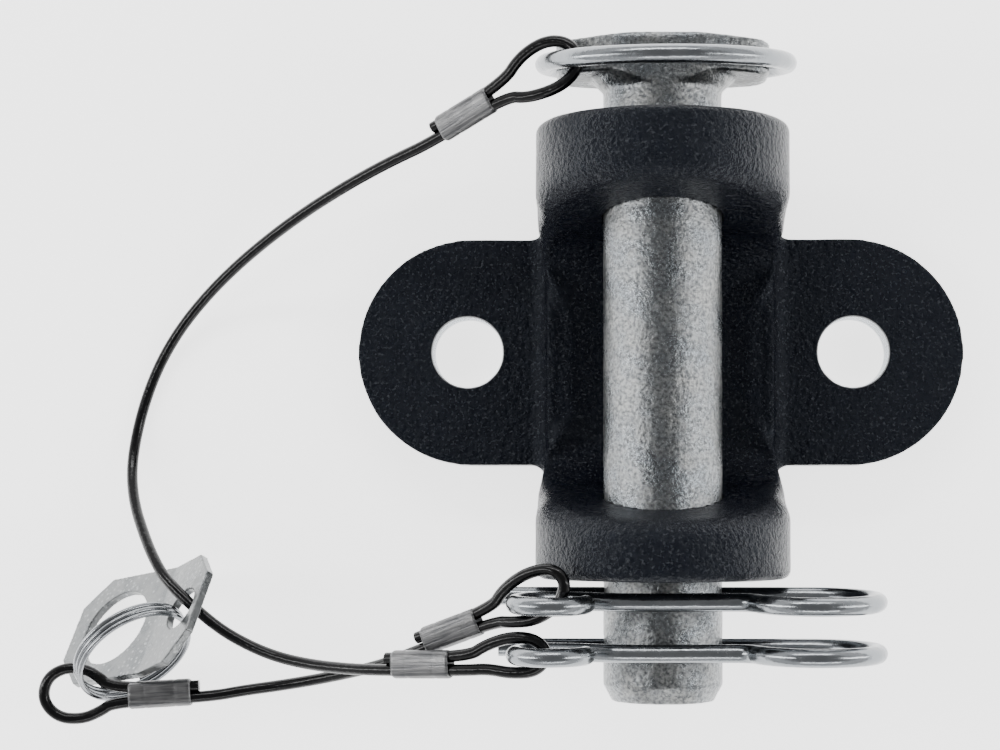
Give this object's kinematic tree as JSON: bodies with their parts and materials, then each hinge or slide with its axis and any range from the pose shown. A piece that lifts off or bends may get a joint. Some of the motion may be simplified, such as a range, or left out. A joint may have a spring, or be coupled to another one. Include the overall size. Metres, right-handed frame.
{
  "type": "bolt-on tow clevis with hitch pin",
  "caption": "Bolt-on tow clevis: two-lug forged bracket with a T-headed pin, hairpin clips, a pull ring and coated wire lanyards with a split ring and tab.",
  "frame": {"origin": "midway between the two bolt holes, on the mounting face", "axes": "+X through the bolt ears, +Y along the pin towards its head, +Z away from the mounting face"},
  "size_m": [0.2536, 0.1828, 0.0796],
  "materials": {
    "black_paint": "gloss black paint over rough forging",
    "cast_zinc": "zinc plate over a rough forged surface",
    "bright_wire": "bright zinc",
    "ring_steel": "bright spring steel",
    "galvanized_sheet": "satin zinc plate",
    "ferrule_aluminium": "drawn, crimped",
    "black_vinyl": "smooth extruded vinyl"
  },
  "bodies": {
    "bracket": {"clevis_bracket": "black_paint"},
    "pin": {"hitch_pin": "cast_zinc", "long_lanyard": "black_vinyl", "short_lanyard": "black_vinyl", "ring_ferrule": "ferrule_aluminium", "lower_clip_ferrule": "ferrule_aluminium", "upper_clip_ferrule": "ferrule_aluminium", "tab_ferrule": "ferrule_aluminium"},
    "pull_ring": {"pull_ring": "bright_wire"},
    "upper_clip": {"upper_hairpin": "bright_wire"},
    "lower_clip": {"lower_hairpin": "bright_wire"},
    "split_ring": {"split_ring": "ring_steel"},
    "tab": {"anchor_tab": "galvanized_sheet"}
  },
  "joints": [
    {"name": "pin_slide", "type": "slide", "parent": "bracket", "child": "pin", "axis": [0, 1, 0], "range_m": [-0.003, 0.0014]},
    {"name": "pull_ring_swing", "type": "hinge", "parent": "pin", "child": "pull_ring", "pos_m": [0.0009, 0.0746, 0.0445], "axis": [1, 0, 0], "range_deg": [-3, 4]},
    {"name": "upper_clip_slide", "type": "slide", "parent": "pin", "child": "upper_clip", "axis": [1, 0, 0], "range_m": [0, 0.002]},
    {"name": "lower_clip_slide", "type": "slide", "parent": "pin", "child": "lower_clip", "axis": [1, 0, 0], "range_m": [0, 0.002]},
    {"name": "split_ring_turn", "type": "hinge", "parent": "pin", "child": "split_ring", "pos_m": [-0.143, -0.0824, 0.035], "axis": [0.5271, -0.6651, 0.5291], "continuous": true},
    {"name": "tab_swing", "type": "hinge", "parent": "pin", "child": "tab", "pos_m": [-0.13084, -0.0724, 0.03545], "axis": [-0.3548, 0.3935, 0.8481], "range_deg": [0, 1]}
  ]
}
